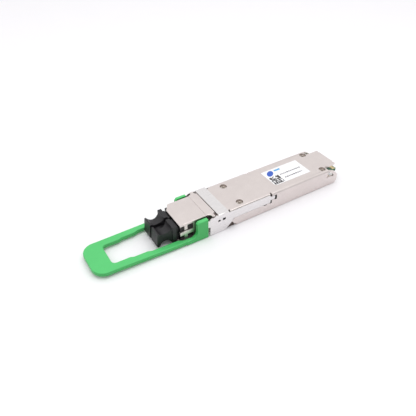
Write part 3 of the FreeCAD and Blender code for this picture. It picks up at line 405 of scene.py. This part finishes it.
def add_prisms(name, ends, finish):
    """Closed prisms as one piece on the housing. Each is its two end outlines, as lists of (x, y, z)."""
    mesh = bmesh.new()
    for first_end, second_end in ends:
        first = [mesh.verts.new([c * MM for c in point]) for point in first_end]
        second = [mesh.verts.new([c * MM for c in point]) for point in second_end]
        mesh.faces.new(list(reversed(first)))
        mesh.faces.new(second)
        for i in range(len(first)):
            j = (i + 1) % len(first)
            mesh.faces.new((first[i], first[j], second[j], second[i]))
    bmesh.ops.recalc_face_normals(mesh, faces=mesh.faces)
    data = bpy.data.meshes.new(name)
    mesh.to_mesh(data)
    mesh.free()
    data.materials.append(finish)
    thing = add_object(name, data)
    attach(thing, "root")


# ---------------------------------------------------------------- printed label
# Generic print only: an oval, a bar, broken grey bars and random blocks that encode nothing.

PRINT_SUNK = 0.02
PRINT_RAISED = 0.008

CODE_CORNER = (25.5, -4.6)
CODE_CELL = 0.345
CODE_CELLS = 15
CODE_DENSE_CELLS = 4
CODE_FILL_DENSE = 0.85
CODE_FILL = 0.58

GREY_BARS = ((0.0, 31.6, 42.6), (-2.7, 32.2, 41.6))  # y, first x, last x
GREY_BAR_WIDTH = 0.7
GREY_BAR_GAP = 0.28
GREY_BAR_LENGTHS = (0.35, 0.5, 0.7, 0.9)

EMBLEM_CENTRE = (28.2, 2.7)
EMBLEM_LENGTH = 4.4
EMBLEM_WIDTH = 2.7
EMBLEM_TURN_DEG = 40
EMBLEM_POINTS = 24

BLUE_BAR = (31.0, 3.6, 3.2, 1.0)  # x, y, length, width

label_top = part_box("rating_label")[1].z / MM


def print_on_label(name, shapes, finish):
    """Flat shapes, each a list of (x, y) corners, as thin plates set into the label's top face."""
    low, high = label_top - PRINT_SUNK, label_top + PRINT_RAISED
    ends = [([(x, y, low) for x, y in corners], [(x, y, high) for x, y in corners]) for corners in shapes]
    add_prisms(name, ends, finish)


def bar(x, y, length, width):
    """A bar that starts at x and lies evenly about y."""
    return [(x, y - width / 2), (x + length, y - width / 2), (x + length, y + width / 2), (x, y + width / 2)]


def oval(centre, length, width, turn_deg, points):
    turn = math.radians(turn_deg)
    outline = []
    for k in range(points):
        angle = 2 * math.pi * k / points
        u, v = length / 2 * math.cos(angle), width / 2 * math.sin(angle)
        outline.append((centre[0] + u * math.cos(turn) - v * math.sin(turn),
                        centre[1] + u * math.sin(turn) + v * math.cos(turn)))
    return outline


def code_blocks(pattern):
    """Random square cells, fuller in three of the four corners."""
    last_dense = CODE_CELLS - CODE_DENSE_CELLS
    blocks = []
    for row in range(CODE_CELLS):
        for column in range(CODE_CELLS):
            first_row, last_row = row < CODE_DENSE_CELLS, row >= last_dense
            first_column, last_column = column < CODE_DENSE_CELLS, column >= last_dense
            dense = (last_row and (first_column or last_column)) or (first_row and first_column)
            if pattern.random() < (CODE_FILL_DENSE if dense else CODE_FILL):
                x, y = CODE_CORNER[0] + column * CODE_CELL, CODE_CORNER[1] + row * CODE_CELL
                blocks.append(bar(x, y, CODE_CELL, CODE_CELL))
    return blocks


def broken_bars(pattern):
    bars = []
    for y, start, end in GREY_BARS:
        x = start
        while x < end:
            length = pattern.choice(GREY_BAR_LENGTHS)
            bars.append(bar(x, y, min(length, end - x), GREY_BAR_WIDTH))
            x += length + GREY_BAR_GAP
    return bars


pattern = random.Random(7)
emblem = oval(EMBLEM_CENTRE, EMBLEM_LENGTH, EMBLEM_WIDTH, EMBLEM_TURN_DEG, EMBLEM_POINTS)
print_on_label("label_block_pattern", code_blocks(pattern), ink("ink_dark", (62, 58, 60), (40, 37, 40)))
print_on_label("label_grey_bars", broken_bars(pattern), ink("ink_grey", (124, 122, 127), (98, 96, 102)))
print_on_label("label_emblem", [emblem], ink("ink_blue", (58, 108, 206), (42, 82, 182)))
print_on_label("label_blue_bar", [bar(*BLUE_BAR)], ink("ink_light_blue", (92, 180, 232), (74, 160, 216)))


# ---------------------------------------------------------------- dark wedges as painted shade in the side notches
# A dark wedge at the foot of each side notch, behind the slider's diagonal edge: painted shade where the deep
# recess falls into shadow, not a real gasket.

NOTCH_OUTLINE = [(-2.3, 0.12), (2.3, 0.12), (0.33, 2.75)]  # x, z
NOTCH_INNER_Y = 8.25
NOTCH_OUTER_Y = 8.6

wedges = []
for side in (-1, 1):
    wedges.append([[(x, side * y, z) for x, z in NOTCH_OUTLINE] for y in (NOTCH_INNER_Y, NOTCH_OUTER_Y)])
# Dark wedges painted in as shade, not real parts of the module.
add_prisms("notch_shade_wedges", wedges, fine_grained("notch_painted_shade", (84, 66, 58), (58, 45, 39), 0.6, 2.0))


# ---------------------------------------------------------------- copies of the return springs, in the spring finish

def working_spring(node):
    """The same coil, with one end on the housing and the other on the slider's lug."""
    source = NODES[node]
    data = source.data.copy()
    data.transform(source.matrix_world)
    data.materials.clear()
    data.materials.append(FINISHES["spring_steel"])
    coil = add_object(f"{node}_coil", data)
    add_weld(coil)
    add_shading(coil)
    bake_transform(coil)
    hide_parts(node)


working_spring("return_spring_left")
working_spring("return_spring_right")


# ---------------------------------------------------------------- studio, in metres

FLOOR_HALF_WIDTH = 3.0
FLOOR_Z = -0.00002  # just under the base, so that the two do not share a plane

TENT_BRIGHT_SIDE = (0.35, 0.55, 0.76)
TENT_DIM = 0.5
TENT_BRIGHT = 0.97
TENT_TINT = (1.0, 0.995, 1.0, 1.0)

SOFTBOX_PLACE = (0.0, -0.04, 0.5)
SOFTBOX_TARGET = (0, 0, 0)
SOFTBOX_WIDTH = 0.5
SOFTBOX_DEPTH = 0.4
SOFTBOX_WATTS = 0.85

CAMERA_PLACE = (-0.07933, -0.11918, 0.12342)
CAMERA_TILT_DEG = 50.04
CAMERA_HEADING_DEG = -31.87
CAMERA_LENS_MM = 39.15
CAMERA_SENSOR_MM = 36.0


def pale_floor():
    data = bpy.data.meshes.new("floor")
    mesh = bmesh.new()
    bmesh.ops.create_grid(mesh, x_segments=1, y_segments=1, size=FLOOR_HALF_WIDTH)
    mesh.to_mesh(data)
    mesh.free()
    s = Shader("white_sweep")
    base = s.mix(s.span(s.noise(0.05, 2.0), 0.0, 1.0), (251, 250, 252), (249, 248, 251))
    s.set(Base_Color=base, Roughness=0.75, Specular_IOR_Level=0.3)
    data.materials.append(s.material)
    floor = add_object("floor", data)
    floor.location = (0, 0, FLOOR_Z)


def bright_room():
    """A white tent: brightest overhead and on the far side, dimmer low down on the near side."""
    world = bpy.data.worlds.new("tent")
    bpy.context.scene.world = world
    world.use_nodes = True
    tree = world.node_tree
    tree.nodes.clear()
    output = tree.nodes.new("ShaderNodeOutputWorld")
    background = tree.nodes.new("ShaderNodeBackground")
    background.inputs["Color"].default_value = TENT_TINT
    coordinates = tree.nodes.new("ShaderNodeTexCoord")
    along = tree.nodes.new("ShaderNodeVectorMath")
    along.operation = "DOT_PRODUCT"
    along.inputs[1].default_value = Vector(TENT_BRIGHT_SIDE).normalized()
    ramp = tree.nodes.new("ShaderNodeMapRange")
    ramp.interpolation_type = "SMOOTHSTEP"
    ramp.inputs["From Min"].default_value = -0.6
    ramp.inputs["From Max"].default_value = 0.75
    ramp.inputs["To Min"].default_value = TENT_DIM
    ramp.inputs["To Max"].default_value = TENT_BRIGHT
    link = tree.links.new
    link(coordinates.outputs["Generated"], along.inputs[0])
    link(along.outputs["Value"], ramp.inputs["Value"])
    link(ramp.outputs["Result"], background.inputs["Strength"])
    link(background.outputs["Background"], output.inputs["Surface"])


def overhead_softbox():
    data = bpy.data.lights.new("overhead", "AREA")
    data.shape = "RECTANGLE"
    data.size = SOFTBOX_WIDTH
    data.size_y = SOFTBOX_DEPTH
    data.energy = SOFTBOX_WATTS
    lamp = add_object("overhead", data)
    lamp.location = SOFTBOX_PLACE
    aim = Vector(SOFTBOX_TARGET) - Vector(SOFTBOX_PLACE)
    lamp.rotation_euler = aim.to_track_quat("-Z", "Y").to_euler()


def photo_camera():
    data = bpy.data.cameras.new("camera")
    data.lens = CAMERA_LENS_MM
    data.sensor_width = CAMERA_SENSOR_MM
    data.clip_start = 0.01
    data.clip_end = 20.0
    camera = add_object("camera", data)
    camera.location = CAMERA_PLACE
    camera.rotation_euler = (math.radians(CAMERA_TILT_DEG), 0.0, math.radians(CAMERA_HEADING_DEG))
    bpy.context.scene.camera = camera


pale_floor()
bright_room()
overhead_softbox()
photo_camera()
bpy.context.scene.view_settings.view_transform = "Standard"
bpy.context.scene.view_settings.look = "None"
